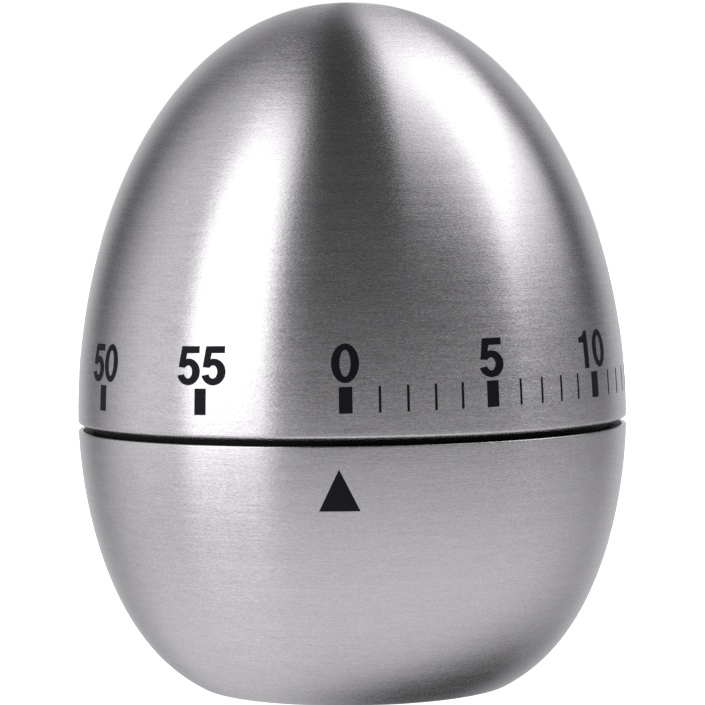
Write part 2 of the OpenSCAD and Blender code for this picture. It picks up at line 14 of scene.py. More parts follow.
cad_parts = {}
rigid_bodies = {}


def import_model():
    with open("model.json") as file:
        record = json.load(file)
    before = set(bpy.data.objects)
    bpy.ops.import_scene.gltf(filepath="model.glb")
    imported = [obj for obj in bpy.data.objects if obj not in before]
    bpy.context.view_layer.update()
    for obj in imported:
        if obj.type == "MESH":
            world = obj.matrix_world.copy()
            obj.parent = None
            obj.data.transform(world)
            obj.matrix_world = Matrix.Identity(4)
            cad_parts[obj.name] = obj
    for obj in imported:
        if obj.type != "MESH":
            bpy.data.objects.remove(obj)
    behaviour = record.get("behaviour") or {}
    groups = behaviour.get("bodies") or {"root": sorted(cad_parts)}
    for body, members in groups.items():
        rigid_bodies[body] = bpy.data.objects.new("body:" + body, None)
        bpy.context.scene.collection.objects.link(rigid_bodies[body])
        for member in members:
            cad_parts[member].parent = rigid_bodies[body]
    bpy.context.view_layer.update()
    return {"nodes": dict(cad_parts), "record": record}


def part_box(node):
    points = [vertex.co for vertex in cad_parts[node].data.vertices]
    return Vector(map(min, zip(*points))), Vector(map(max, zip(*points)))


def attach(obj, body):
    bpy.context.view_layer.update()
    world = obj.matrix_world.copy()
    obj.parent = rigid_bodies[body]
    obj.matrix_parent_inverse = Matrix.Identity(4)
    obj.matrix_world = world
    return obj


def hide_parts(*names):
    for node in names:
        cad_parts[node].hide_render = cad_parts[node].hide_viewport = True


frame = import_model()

LOG = logging.getLogger("timer")
MM = 0.001
Point = tuple[float, float]


class Body(str, Enum):
    """CAD bodies that carry the pieces made here."""

    BASE = "base"
    DIAL = "dial"


class Slot(str, Enum):
    """Material slots of the record."""

    STEEL = "brushed_steel"
    BLACK = "black_abs"
    RUBBER = "rubber"
    ZINC = "zinc_screws"
    PLATE = "plate_brass"
    WHEEL = "wheel_brass"
    TURNED = "turned_steel"
    BELL = "bell_metal"
    SPRING = "spring_steel"
    BARREL = "barrel_steel"
    INK = "scale_ink"


# ---------------------------------------------------------------- node graphs


class Wire:
    """A node output that takes part in arithmetic: each operation adds one Math node."""

    def __init__(self, graph: "Graph", socket: bpy.types.NodeSocket) -> None:
        """Wraps one output socket of a graph."""
        self.graph = graph
        self.socket = socket

    def __add__(self, other: "Wire | float") -> "Wire":
        """Sum."""
        return self.graph.math("ADD", self, other)

    def __radd__(self, other: float) -> "Wire":
        """Sum with a number on the left."""
        return self.graph.math("ADD", other, self)

    def __sub__(self, other: "Wire | float") -> "Wire":
        """Difference."""
        return self.graph.math("SUBTRACT", self, other)

    def __rsub__(self, other: float) -> "Wire":
        """A number less this value."""
        return self.graph.math("SUBTRACT", other, self)

    def __mul__(self, other: "Wire | float") -> "Wire":
        """Product."""
        return self.graph.math("MULTIPLY", self, other)

    def __rmul__(self, other: float) -> "Wire":
        """Product with a number on the left."""
        return self.graph.math("MULTIPLY", other, self)

    def __truediv__(self, other: "Wire | float") -> "Wire":
        """Quotient."""
        return self.graph.math("DIVIDE", self, other)

    def __rtruediv__(self, other: float) -> "Wire":
        """A number divided by this value."""
        return self.graph.math("DIVIDE", other, self)

    def __pow__(self, other: "Wire | float") -> "Wire":
        """Power."""
        return self.graph.math("POWER", self, other)

    def __mod__(self, other: "Wire | float") -> "Wire":
        """Remainder."""
        return self.graph.math("MODULO", self, other)

    def __neg__(self) -> "Wire":
        """Opposite sign."""
        return self * -1.0


class Graph:
    """Adds and links the nodes of one shader, world or geometry tree."""

    def __init__(self, tree: bpy.types.NodeTree) -> None:
        """Keeps the tree that the nodes go into."""
        self.tree = tree

    def node(
        self,
        kind: str,
        settings: dict[str, Any] | None = None,
        inputs: dict[str | int, Any] | None = None,
    ) -> bpy.types.Node:
        """Adds a node.

        Args:
            kind: The node's Blender type.
            settings: Its properties, set before its sockets. "stops" fills a ramp.
            inputs: Values or wires for its input sockets, by name or number.

        Returns:
            The new node.
        """
        made = self.tree.nodes.new(kind)
        for key, value in (settings or {}).items():
            if key == "stops":
                self._fill_ramp(made.color_ramp, value)
            else:
                setattr(made, key, value)
        for key, value in (inputs or {}).items():
            self.feed(made.inputs[key], value)
        return made

    def _fill_ramp(self, ramp: bpy.types.ColorRamp, stops: Sequence[tuple[float, Any]]) -> None:
        """Sets a colour ramp's stops from (place, grey or colour) pairs."""
        while len(ramp.elements) > 1:
            ramp.elements.remove(ramp.elements[-1])
        for index, (place, tone) in enumerate(stops):
            stop = ramp.elements[0] if index == 0 else ramp.elements.new(place)
            stop.position = place
            stop.color = (tone, tone, tone, 1) if isinstance(tone, (int, float)) else (*tone, 1)

    def feed(self, socket: bpy.types.NodeSocket, value: Any) -> None:
        """Links a wire to an input socket, or sets its value."""
        if isinstance(value, Wire):
            self.tree.links.new(value.socket, socket)
        else:
            socket.default_value = value

    def out(
        self,
        kind: str,
        settings: dict[str, Any] | None = None,
        inputs: dict[str | int, Any] | None = None,
        output: str | int = 0,
    ) -> Wire:
        """Adds a node and returns one of its outputs as a wire."""
        return Wire(self, self.node(kind, settings, inputs).outputs[output])

    def math(self, operation: str, *values: "Wire | float", clamp: bool = False) -> Wire:
        """Adds a Math node on one to three values and returns its result."""
        settings = {"operation": operation, "use_clamp": clamp}
        return self.out("ShaderNodeMath", settings, dict(enumerate(values)))

    def step(self, value: Wire, place: float, edge: float) -> Wire:
        """A smooth rise from 0 to 1 that is half way at a place and spans an edge to each side."""
        span = {"From Min": place - edge, "From Max": place + edge}
        return self.out("ShaderNodeMapRange", {"interpolation_type": "SMOOTHSTEP"}, {"Value": value, **span})

    def split(self, vector: Wire) -> tuple[Wire, Wire, Wire]:
        """The three parts of a vector."""
        parts = self.node("ShaderNodeSeparateXYZ", inputs={0: vector})
        return Wire(self, parts.outputs[0]), Wire(self, parts.outputs[1]), Wire(self, parts.outputs[2])

    def join(self, x: Wire | float, y: Wire | float, z: Wire | float) -> Wire:
        """A vector from its three parts."""
        return self.out("ShaderNodeCombineXYZ", inputs={0: x, 1: y, 2: z})

    def tint(self, amount: Wire | float, low: Sequence[float], high: Sequence[float]) -> Wire:
        """A colour between two, mixed by an amount from 0 to 1."""
        settings = {"data_type": "RGBA", "clamp_factor": True}
        mixed = self.node("ShaderNodeMix", settings)
        self.feed(mixed.inputs[0], amount)
        self.feed(mixed.inputs[6], (*low, 1.0))
        self.feed(mixed.inputs[7], (*high, 1.0))
        return Wire(self, mixed.outputs[2])

    def noise(self, vector: Wire, scale: float, detail: float = 2.0, roughness: float = 0.5) -> Wire:
        """Noise from 0 to 1 over a vector."""
        inputs = {"Vector": vector, "Scale": scale, "Detail": detail, "Roughness": roughness}
        return self.out("ShaderNodeTexNoise", inputs=inputs)


# ---------------------------------------------------------------- finishes


@dataclass(frozen=True)
class Finish:
    """A surface finish: its colour and gloss, with a fine mottle and a shallow texture."""

    name: str
    colour: tuple[float, float, float]
    roughness: float = 0.4
    metallic: float = 0.0
    mottle: float = 0.1
    grain_size: float = 0.4
    bump: float = 0.05
    gloss: float = 0.5

    def material(self) -> bpy.types.Material:
        """Makes the material, with its tree filled by surface()."""
        made = bpy.data.materials.new(self.name)
        made.use_nodes = True
        made.node_tree.nodes.clear()
        graph = Graph(made.node_tree)
        shader = graph.node("ShaderNodeBsdfPrincipled")
        shader.inputs["Metallic"].default_value = self.metallic
        shader.inputs["Specular IOR Level"].default_value = self.gloss
        place = graph.out("ShaderNodeTexCoord", output="Object")
        self.surface(graph, shader, place)
        result = Wire(graph, shader.outputs[0])
        graph.node("ShaderNodeOutputMaterial", inputs={"Surface": result})
        made.diffuse_color = (*self.colour, 1)
        return made

    def surface(self, graph: Graph, shader: bpy.types.Node, place: Wire) -> None:
        """Mottles the colour and roughness and roughens the surface a little."""
        grain = graph.noise(place, 1 / (self.grain_size * MM), 4.0, 0.6)
        cloud = graph.noise(place, 1 / (self.grain_size * 12 * MM), 2.0)
        darker = [c * (1 - self.mottle) for c in self.colour]
        lighter = [min(1.0, c * (1 + self.mottle)) for c in self.colour]
        graph.feed(shader.inputs["Base Color"], graph.tint(cloud * 0.6 + grain * 0.4, darker, lighter))
        rough = self.roughness * (1 - self.mottle) + (grain * 0.5 + cloud * 0.5) * (
            2 * self.mottle * self.roughness
        )
        graph.feed(shader.inputs["Roughness"], rough)
        inputs = {"Strength": self.bump, "Distance": 0.05 * MM, "Height": grain}
        graph.feed(shader.inputs["Normal"], graph.out("ShaderNodeBump", inputs=inputs))


@dataclass(frozen=True)
class BrushedSteel(Finish):
    """Stainless sheet brushed round the axis: fine rings of scratches that smear light up and down."""

    anisotropy: float = 0.95
    quarter_turn: float = 0.25
    edge_tint: tuple[float, float, float] = (0.7, 0.7, 0.72)
    climb: float = 1.0
    line_pitch: float = 0.12
    streak_length: float = 2.6
    speckle_length: float = 0.14
    band_size: float = 7.0
    contrast: float = 2.4
    depth: float = 0.035

    def surface(self, graph: Graph, shader: bpy.types.Node, place: Wire) -> None:
        """Rings of scratches from the surface's own run from pole to rim.

        Args:
            graph: The material's graph.
            shader: Its Principled shader.
            place: Object coordinates.
        """
        shader.inputs["Anisotropic"].default_value = self.anisotropy
        shader.inputs["Anisotropic Rotation"].default_value = self.quarter_turn
        shader.inputs["Specular Tint"].default_value = (*self.edge_tint, 1)
        x, y, z = graph.split(place)
        run = graph.math("SQRT", x * x + y * y) - z * self.climb
        fine = self._scratches(graph, (x, y, run), 1.0, 1.0)
        speckle = self._scratches(graph, (x, y, run), self.speckle_length, 1.0)
        broad = self._scratches(graph, (x, y, run), self.band_size, self.band_size)
        streak = fine * 0.35 + speckle * 0.65
        sharp = graph.math("ADD", (streak - 0.5) * self.contrast, 0.5, clamp=True)
        darker = [c * (1 - self.mottle) for c in self.colour]
        lighter = [min(1.0, c * (1 + self.mottle)) for c in self.colour]
        graph.feed(shader.inputs["Base Color"], graph.tint(sharp * 0.75 + broad * 0.25, darker, lighter))
        rough = self.roughness * 0.75 + (sharp * 0.35 + broad * 0.15) * self.roughness
        graph.feed(shader.inputs["Roughness"], rough)
        inputs = {"Strength": self.bump, "Distance": self.depth * MM, "Height": streak}
        graph.feed(shader.inputs["Normal"], graph.out("ShaderNodeBump", inputs=inputs))

    def _scratches(self, graph: Graph, spot: tuple[Wire, Wire, Wire], length: float, width: float) -> Wire:
        """Noise drawn out round the axis.

        Args:
            graph: The material's graph.
            spot: X, Y and the run down the surface.
            length: Length of the scratches, as a share of streak_length.
            width: Their width, as a share of line_pitch.

        Returns:
            Noise from 0 to 1.
        """
        along = 1 / (self.streak_length * length * MM)
        across = 1 / (self.line_pitch * width * MM)
        x, y, run = spot
        return graph.noise(graph.join(x * along, y * along, run * across), 1.0, 2.0, 0.6)


STEEL_TONE = (0.665, 0.646, 0.669)
DOME_STEEL = BrushedSteel("dome_steel", STEEL_TONE, 0.25, 1.0, 0.34, bump=0.42)
BOWL_STEEL = BrushedSteel("bowl_steel", STEEL_TONE, 0.25, 1.0, 0.3, bump=0.42, climb=-1.0)
INK = Finish("scale_ink", (0.004, 0.0042, 0.0075), 0.5, 0.0, 0.15, 0.2, 0.1, gloss=0.12)
CAD_FINISHES: dict[Slot, Finish] = {
    Slot.BLACK: Finish("black_abs", (0.006, 0.006, 0.008), 0.45, 0.0, 0.12, 0.5, 0.04, gloss=0.12),
    Slot.RUBBER: Finish("foot_rubber", (0.03, 0.03, 0.03), 0.8, 0.0, 0.25, 0.25, 0.4),
    Slot.ZINC: Finish("zinc_plate", (0.62, 0.64, 0.68), 0.28, 1.0, 0.1, 0.3, 0.1),
    Slot.PLATE: Finish("plate_brass", (0.76, 0.57, 0.27), 0.34, 1.0, 0.12, 0.6, 0.15),
    Slot.WHEEL: Finish("wheel_brass", (0.84, 0.63, 0.29), 0.26, 1.0, 0.1, 0.3, 0.1),
    Slot.TURNED: Finish("turned_steel", (0.58, 0.58, 0.6), 0.22, 1.0, 0.1, 0.2, 0.12),
    Slot.BELL: Finish("bell_nickel", (0.66, 0.64, 0.6), 0.14, 1.0, 0.06, 1.0, 0.05),
    Slot.SPRING: Finish("blued_spring", (0.12, 0.15, 0.26), 0.3, 1.0, 0.2, 0.8, 0.1),
    Slot.BARREL: Finish("barrel_tin", (0.5, 0.51, 0.53), 0.36, 1.0, 0.14, 0.7, 0.15),
}


# ---------------------------------------------------------------- outlines


def arc(centre: Point, radii: Point, start: float, end: float, steps: int) -> list[Point]:
    """Points along an ellipse's arc.

    Args:
        centre: The ellipse's centre.
        radii: Its half width and half height.
        start: First angle in degrees.
        end: Last angle in degrees.
        steps: Number of stretches.

    Returns:
        steps + 1 points.
    """
    angles = [math.radians(start + (end - start) * i / steps) for i in range(steps + 1)]
    return [(centre[0] + radii[0] * math.cos(a), centre[1] + radii[1] * math.sin(a)) for a in angles]


def bend(start: Point, pull: Point, end: Point, steps: int = 6) -> list[Point]:
    """Points along a quadratic curve between two points, drawn towards a third."""
    made = []
    for i in range(steps + 1):
        t = i / steps
        a, b, c = (1 - t) ** 2, 2 * t * (1 - t), t * t
        made.append((a * start[0] + b * pull[0] + c * end[0], a * start[1] + b * pull[1] + c * end[1]))
    return made


def soften(path: Sequence[Point], corners: Iterable[int], radius: float) -> list[Point]:
    """Rounds the named corners of a path with a short curve.

    Args:
        path: The points.
        corners: Numbers of the points to round.
        radius: How far from each corner the curve starts.

    Returns:
        The path with its corners rounded.
    """
    chosen = set(corners)
    made: list[Point] = []
    for i, point in enumerate(path):
        if i not in chosen:
            made.append(point)
            continue
        ends = []
        for other in (path[i - 1], path[(i + 1) % len(path)]):
            run = Vector(other) - Vector(point)
            ends.append(tuple(Vector(point) + run.normalized() * min(radius, run.length / 2)))
        made.extend(bend(ends[0], point, ends[1], 5))
    return made


def inset(path: Sequence[Point], depth: float) -> list[Point]:
    """Moves a path inwards by a depth, square to itself."""
    made = []
    for i, point in enumerate(path):
        run = Vector(path[min(i + 1, len(path) - 1)]) - Vector(path[max(i - 1, 0)])
        run.normalize()
        made.append((point[0] - depth * run.y, point[1] + depth * run.x))
    return made


# ---------------------------------------------------------------- case shape


@dataclass(frozen=True)
class EggCurve:
    """One half of the egg: how its radius falls away from the widest line, in millimetres."""

    widest: float
    waist: float
    reach: float
    fall: float
    roundness: float

    def radius(self, height: float) -> float:
        """Radius at a height."""
        share = min(1.0, abs(height - self.waist) / self.reach)
        return self.widest * (1 - share**self.fall) ** (1 / self.roundness)


@dataclass
class Case:
    """Both steel shells' section: heights from the CAD nodes' boxes, with a flatter and lower lip."""

    waist: float = 29.8
    bowl_drop: float = 31.8
    sheet: float = 0.5
    lip_radius: float = 1.35
    lip_rise: float = 0.55
    lip_drop: float = 0.25
    cone_top: float = 0.9
    foot_blend: float = 0.5
    base_hole: float = 12.0
    edge_round: float = 0.09
    widest: float = field(init=False)
    rim: float = field(init=False)
    foot: float = field(init=False)
    lip: float = field(init=False)
    top: float = field(init=False)
    bowl: EggCurve = field(init=False)
    dome: EggCurve = field(init=False)

    def __post_init__(self) -> None:
        """Reads the shells' boxes and sets up the two curves."""
        bowl_low, bowl_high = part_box("lower_shell")
        dome_low, dome_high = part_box("upper_shell")
        self.widest = round(2 * dome_high.x / MM, 1) / 2
        self.rim = bowl_high.z / MM
        self.foot = bowl_low.z / MM
        self.lip = dome_low.z / MM - self.lip_drop
        self.top = dome_high.z / MM
        self.bowl = EggCurve(self.widest, self.waist, self.bowl_drop, 1.83, 3.54)
        self.dome = EggCurve(self.widest, self.waist, self.top - self.waist, 1.976, 2.133)

    def bowl_section(self) -> list[Point]:
        """Closed outline of the lower shell's wall."""
        step = 0.01
        slope = (self.bowl.radius(self.cone_top + step) - self.bowl.radius(self.cone_top - step)) / (2 * step)
        corner = self.bowl.radius(self.cone_top) - (self.cone_top - self.foot) * slope
        foot_end = (corner + self.foot_blend, self.foot + self.foot_blend / slope)
        path = [(self.base_hole, self.foot)]
        path += bend((corner - self.foot_blend, self.foot), (corner, self.foot), foot_end, 10)
        rows = 110
        for i in range(rows + 1):
            height = self.cone_top + (self.rim - self.cone_top) * (i / rows) ** 1.3
            path.append((self.bowl.radius(height), height))
        inner = inset(path, self.sheet)
        closed = path + inner[::-1]
        last = len(path)
        return soften(closed, [0, last - 1, last, len(closed) - 1], self.edge_round)

    def dome_section(self) -> list[Point]:
        """Outline of the dome's wall from its inner pole, round the rolled lip, to its outer pole."""
        lip_top = self.lip + self.lip_rise
        lip_x = self.dome.radius(lip_top) - self.lip_radius
        path = arc((lip_x, lip_top), (self.lip_radius, self.lip_rise), -90, -4, 18)
        rows = 150
        for i in range(rows):
            height = lip_top + (self.top - lip_top) * math.sin(math.pi / 2 * i / rows)
            path.append((self.dome.radius(height), height))
        inner = inset(path, self.sheet)
        open_path = [(0.0, self.top - self.sheet)] + inner[::-1] + path + [(0.0, self.top)]
        turn = len(inner)
        return soften(open_path, [turn, turn + 1], self.sheet * 0.45)


# ---------------------------------------------------------------- geometry trees


class TreeKit:
    """Builds geometry node trees and turns their result into plain meshes."""

    def __init__(self, name: str, sockets: dict[str, tuple[str, Any]]) -> None:
        """Starts a tree.

        Args:
            name: The tree's name.
            sockets: Its inputs after the geometry: name to (socket type, default).
        """
        self.tree = bpy.data.node_groups.new(name, "GeometryNodeTree")
        self.graph = Graph(self.tree)
        face = self.tree.interface
        face.new_socket("Geometry", in_out="INPUT", socket_type="NodeSocketGeometry")
        self.ids: dict[str, str] = {}
        for key, (kind, default) in {**sockets, "Material": ("NodeSocketMaterial", None)}.items():
            socket = face.new_socket(key, in_out="INPUT", socket_type=kind)
            if default is not None:
                socket.default_value = default
            self.ids[key] = socket.identifier
        face.new_socket("Geometry", in_out="OUTPUT", socket_type="NodeSocketGeometry")
        self.entry = self.tree.nodes.new("NodeGroupInput")

    def given(self, key: str) -> Wire:
        """One of the tree's inputs."""
        return Wire(self.graph, self.entry.outputs[key])

    def close(self, geometry: Wire) -> None:
        """Ends the tree: realises instances, sets the material and links the output."""
        plain = self.graph.out("GeometryNodeRealizeInstances", inputs={0: geometry})
        inputs = {"Geometry": plain, "Material": self.given("Material")}
        dressed = self.graph.out("GeometryNodeSetMaterial", inputs=inputs)
        self.graph.node("NodeGroupOutput", inputs={0: dressed})

    def run(self, name: str, source: bpy.types.Mesh, values: dict[str, Any]) -> bpy.types.Object:
        """Runs the tree on a mesh.

        Args:
            name: Name of the piece.
            source: The mesh that the tree starts from.
            values: The tree's inputs by name.

        Returns:
            A new object whose mesh is the result, with no modifier.
        """
        carrier = bpy.data.objects.new(name + "_source", source)
        bpy.context.scene.collection.objects.link(carrier)
        modifier = carrier.modifiers.new("tree", "NODES")
        modifier.node_group = self.tree
        for key, value in values.items():
            modifier[self.ids[key]] = value
        bpy.context.view_layer.update()
        seen = carrier.evaluated_get(bpy.context.evaluated_depsgraph_get())
        mesh = bpy.data.meshes.new_from_object(seen)
        bpy.data.objects.remove(carrier)
        mesh.name = name
        piece = bpy.data.objects.new(name, mesh)
        bpy.context.scene.collection.objects.link(piece)
        return piece


def lathe_kit() -> TreeKit:
    """A tree that turns a flat strip, with its turn share in Y, round the Z axis and closes it."""
    kit = TreeKit("lathe", {})
    graph = kit.graph
    x, y, z = graph.split(graph.out("GeometryNodeInputPosition"))
    angle = y * math.tau
    place = graph.join(x * graph.math("COSINE", angle), x * graph.math("SINE", angle), z)
    inputs = {"Geometry": kit.given("Geometry"), "Position": place}
    moved = graph.out("GeometryNodeSetPosition", inputs=inputs)
    kit.close(graph.out("GeometryNodeMergeByDistance", inputs={"Geometry": moved, "Distance": 1e-6}))
    return kit


def wrapped(kit: TreeKit, geometry: Wire) -> Wire:
    """Lays flat label geometry on the egg: X is the way round, Y the height and Z the depth of ink.

    Args:
        kit: A tree with the inputs that label_sockets() gives.
        geometry: The flat label.

    Returns:
        The label on the surface.
    """
    graph = kit.graph
    x, y, z = graph.split(graph.out("GeometryNodeInputPosition"))
    angle = x / kit.given("Widest") + kit.given("Start")
    side = graph.math("SINE", angle)
    height = y + side * kit.given("Widest") * kit.given("Slant")
    share = graph.math("ABSOLUTE", height - kit.given("Waist")) / kit.given("Reach")
    falling = 1 - share ** kit.given("Fall")
    radius = kit.given("Widest") * falling ** (1 / kit.given("Roundness")) + z
    place = graph.join(radius * side, radius * graph.math("COSINE", angle) * -1, height)
    return graph.out("GeometryNodeSetPosition", inputs={"Geometry": geometry, "Position": place})


def label_sockets(**more: float) -> dict[str, tuple[str, Any]]:
    """Inputs of a tree that wraps a label on the egg, with any more that it needs."""
    names = {"Waist": 0.0, "Reach": 1.0, "Fall": 2.0, "Roundness": 2.0, "Widest": 1.0}
    names |= {"Start": 0.0, "Slant": 0.0, **more}
    return {key: ("NodeSocketFloat", value) for key, value in names.items()}


def label_values(curve: EggCurve, start: float, slant: float) -> dict[str, float]:
    """Values of those inputs, in metres and radians."""
    return {
        "Waist": curve.waist * MM,
        "Reach": curve.reach * MM,
        "Fall": curve.fall,
        "Roundness": curve.roundness,
        "Widest": curve.widest * MM,
        "Start": math.radians(start),
        "Slant": slant,
    }


def wrap_kit() -> TreeKit:
    """A tree that only wraps its label."""
    kit = TreeKit("wrap_label", label_sockets())
    kit.close(wrapped(kit, kit.given("Geometry")))
    return kit


def marks_kit() -> TreeKit:
    """A tree that repeats one mark round the scale: so many to a sector, evenly spaced with equal gaps."""
    sockets = label_sockets(Sector=0.5, First=0.0, Pitch=0.1)
    sockets["Count"] = ("NodeSocketInt", 1)
    sockets["PerSector"] = ("NodeSocketInt", 1)
    kit = TreeKit("scale_marks", sockets)
    graph = kit.graph
    index = graph.out("GeometryNodeInputIndex")
    per_sector = kit.given("PerSector")
    turn = graph.math("FLOOR", index / per_sector)
    within = index - turn * per_sector
    angle = turn * kit.given("Sector") + kit.given("First") + within * kit.given("Pitch")
    row = graph.out("GeometryNodeMeshLine", inputs={"Count": kit.given("Count")})
    spots = graph.join(angle * kit.given("Widest"), 0.0, 0.0)
    placed = graph.out("GeometryNodeSetPosition", inputs={"Geometry": row, "Position": spots})
    inputs = {"Points": placed, "Instance": kit.given("Geometry")}
    copies = graph.out("GeometryNodeInstanceOnPoints", inputs=inputs)
    real = graph.out("GeometryNodeRealizeInstances", inputs={0: copies})
    kit.close(wrapped(kit, real))
    return kit


# ---------------------------------------------------------------- meshes


def strip_mesh(name: str, section: Sequence[Point], segments: int, closed: bool) -> bpy.types.Mesh:
    """A flat strip for the lathe: the section in X and Z, repeated along Y from 0 to 1.

    Args:
        name: Name of the mesh.
        section: The outline in millimetres, as (radius, height).
        segments: Number of stretches round the axis.
        closed: Whether the section's ends are joined.

    Returns:
        The strip.
    """
    count = len(section)
    points = [(r * MM, j / segments, z * MM) for j in range(segments + 1) for r, z in section]
    spans = count if closed else count - 1
    faces = []
    for j in range(segments):
        for i in range(spans):
            a, b = j * count + i, j * count + (i + 1) % count
            faces.append((a, b, b + count, a + count))
    mesh = bpy.data.meshes.new(name)
    mesh.from_pydata(points, [], faces)
    return mesh


def tidy_mesh(mesh: bpy.types.Mesh, smooth: bool) -> None:
    """Merges doubles, drops slivers, turns faces outwards and sets the shading."""
    work = bmesh.new()
    work.from_mesh(mesh)
    bmesh.ops.remove_doubles(work, verts=work.verts, dist=1e-7)
    bmesh.ops.dissolve_degenerate(work, edges=work.edges, dist=1e-8)
    bmesh.ops.recalc_face_normals(work, faces=work.faces)
    for face in work.faces:
        face.smooth = smooth
    work.to_mesh(mesh)
    work.free()
    mesh.update()


def print_mesh(
    name: str, outlines: Sequence[Sequence[Point]], thickness: float, edge: float
) -> bpy.types.Mesh:
    """A flat printed shape as a thin closed slab, cut finely enough to lie on a curved surface.

    Args:
        name: Name of the mesh.
        outlines: Closed outlines in millimetres; one inside another is a hole.
        thickness: Ink thickness in millimetres.
        edge: Longest edge left, in millimetres.

    Returns:
        The slab, with its middle plane at Z = 0.
    """
    curve = bpy.data.curves.new(name, "CURVE")
    curve.dimensions = "2D"
    curve.fill_mode = "BOTH"
    curve.extrude = thickness * MM / 2
    for outline in outlines:
        spline = curve.splines.new("POLY")
        spline.points.add(len(outline) - 1)
        for point, (x, y) in zip(spline.points, outline):
            point.co = (x * MM, y * MM, 0, 1)
        spline.use_cyclic_u = True
    holder = bpy.data.objects.new(name, curve)
    mesh = bpy.data.meshes.new_from_object(holder)
    bpy.data.objects.remove(holder)
    work = bmesh.new()
    work.from_mesh(mesh)
    bmesh.ops.remove_doubles(work, verts=work.verts, dist=1e-7)
    for _ in range(4):
        long_edges = [e for e in work.edges if e.calc_length() > edge * MM]
        if not long_edges:
            break
        bmesh.ops.subdivide_edges(work, edges=long_edges, cuts=1)
        bmesh.ops.triangulate(work, faces=work.faces)
    bmesh.ops.recalc_face_normals(work, faces=work.faces)
    work.to_mesh(mesh)
    work.free()
    return mesh


# ---------------------------------------------------------------- numerals


class Figure:
    """Bold upright figures, drawn one unit tall from lines and arcs."""

    WIDTH = 0.7
    STRETCH = 1.085

    @staticmethod
    def zero() -> list[list[Point]]:
        """A narrow ring."""
        centre = (0.345, 0.5)
        return [arc(centre, (0.34, 0.51), 0, 352.5, 47), arc(centre, (0.132, 0.345), 0, 352.5, 47)]

    @staticmethod
    def one() -> list[list[Point]]:
        """A stem with a flag."""
        flag = bend((0.345, 1.0), (0.3, 0.845), (0.085, 0.835), 6)
        return [[(0.285, 0.0), (0.49, 0.0), (0.49, 1.0)] + flag + [(0.085, 0.695), (0.285, 0.695)]]

    @staticmethod
    def two() -> list[list[Point]]:
        """A bowl that runs down into a foot."""
        outline = arc((0.35, 0.67), (0.32, 0.345), 176, -18, 22)
        outline += bend((0.65, 0.55), (0.6, 0.42), (0.43, 0.3))[1:]
        outline += bend((0.43, 0.3), (0.32, 0.225), (0.295, 0.175))[1:]
        outline += [(0.67, 0.175), (0.67, 0.0), (0.02, 0.0)]
        outline += bend((0.03, 0.13), (0.06, 0.23), (0.26, 0.37))
        outline += bend((0.26, 0.37), (0.46, 0.5), (0.47, 0.64))[1:]
        outline += arc((0.345, 0.67), (0.125, 0.175), 0, 176, 14)[1:]
        return [outline + [(0.215, 0.64), (0.03, 0.64)]]

    @staticmethod
    def three() -> list[list[Point]]:
        """Two bowls, one on the other."""
        outline = arc((0.34, 0.735), (0.29, 0.275), 172, -40, 20)
        outline += arc((0.345, 0.295), (0.325, 0.305), 48, -176, 26)
        outline += arc((0.345, 0.295), (0.13, 0.15), -176, 84, 20)
        outline += [(0.265, 0.445), (0.265, 0.59)]
        outline += arc((0.34, 0.725), (0.11, 0.135), -84, 172, 18)
        return [outline]

    @staticmethod
    def four() -> list[list[Point]]:
        """A stem crossed by a bar, with a sloping side."""
        body = [(0.41, 0.0), (0.6, 0.0), (0.6, 0.215), (0.69, 0.215), (0.69, 0.37), (0.6, 0.37)]
        body += [(0.6, 1.0), (0.41, 1.0), (0.02, 0.39), (0.02, 0.215), (0.41, 0.215)]
        return [body, [(0.415, 0.37), (0.415, 0.755), (0.17, 0.37)]]

    @staticmethod
    def five() -> list[list[Point]]:
        """A bar and stem over an open bowl."""
        outline = [(0.12, 1.0), (0.655, 1.0), (0.655, 0.815), (0.285, 0.815), (0.255, 0.64)]
        outline += arc((0.345, 0.325), (0.345, 0.35), 104, -164, 28)
        outline += arc((0.335, 0.325), (0.125, 0.17), -160, 142, 20)
        return [outline + [(0.04, 0.45)]]

    @classmethod
    def outlines(cls, digit: str) -> list[list[Point]]:
        """Outlines of one digit from 0 to 5."""
        return [cls.zero, cls.one, cls.two, cls.three, cls.four, cls.five][int(digit)]()

    @classmethod
    def number(cls, text: str, height: float, middle: Point, spacing: float) -> list[list[Point]]:
        """Outlines of a number.

        Args:
            text: Its digits.
            height: Height of the figures in millimetres.
            middle: Middle of the number's foot.
            spacing: Gap between figures, as a share of their height.

        Returns:
            All its outlines, placed.
        """
        advance = cls.WIDTH * cls.STRETCH + spacing
        width = advance * len(text) - spacing
        made = []
        for place, digit in enumerate(text):
            shift = place * advance - width / 2
            for outline in cls.outlines(digit):
                spread = [(x * cls.STRETCH + shift, y) for x, y in outline]
                made.append([(middle[0] + x * height, middle[1] + y * height) for x, y in spread])
        return made


# ---------------------------------------------------------------- assemblies


@dataclass
class SteelShells:
    """The turning dome and the fixed bowl."""

    case: Case
    segments: int = 288

    def build(self) -> list[bpy.types.Object]:
        """Turns both shells on the lathe and hands them to their bodies."""
        lathe = lathe_kit()
        made = []
        plan = (
            ("dome", self.case.dome_section(), False, DOME_STEEL, Body.DIAL, "upper_shell"),
            ("bowl", self.case.bowl_section(), True, BOWL_STEEL, Body.BASE, "lower_shell"),
        )
        for name, section, closed, finish, body, node in plan:
            strip = strip_mesh(name + "_strip", section, self.segments, closed)
            piece = lathe.run(name, strip, {"Material": finish.material()})
            tidy_mesh(piece.data, True)
            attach(piece, body.value)
            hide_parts(node)
            made.append(piece)
        return made


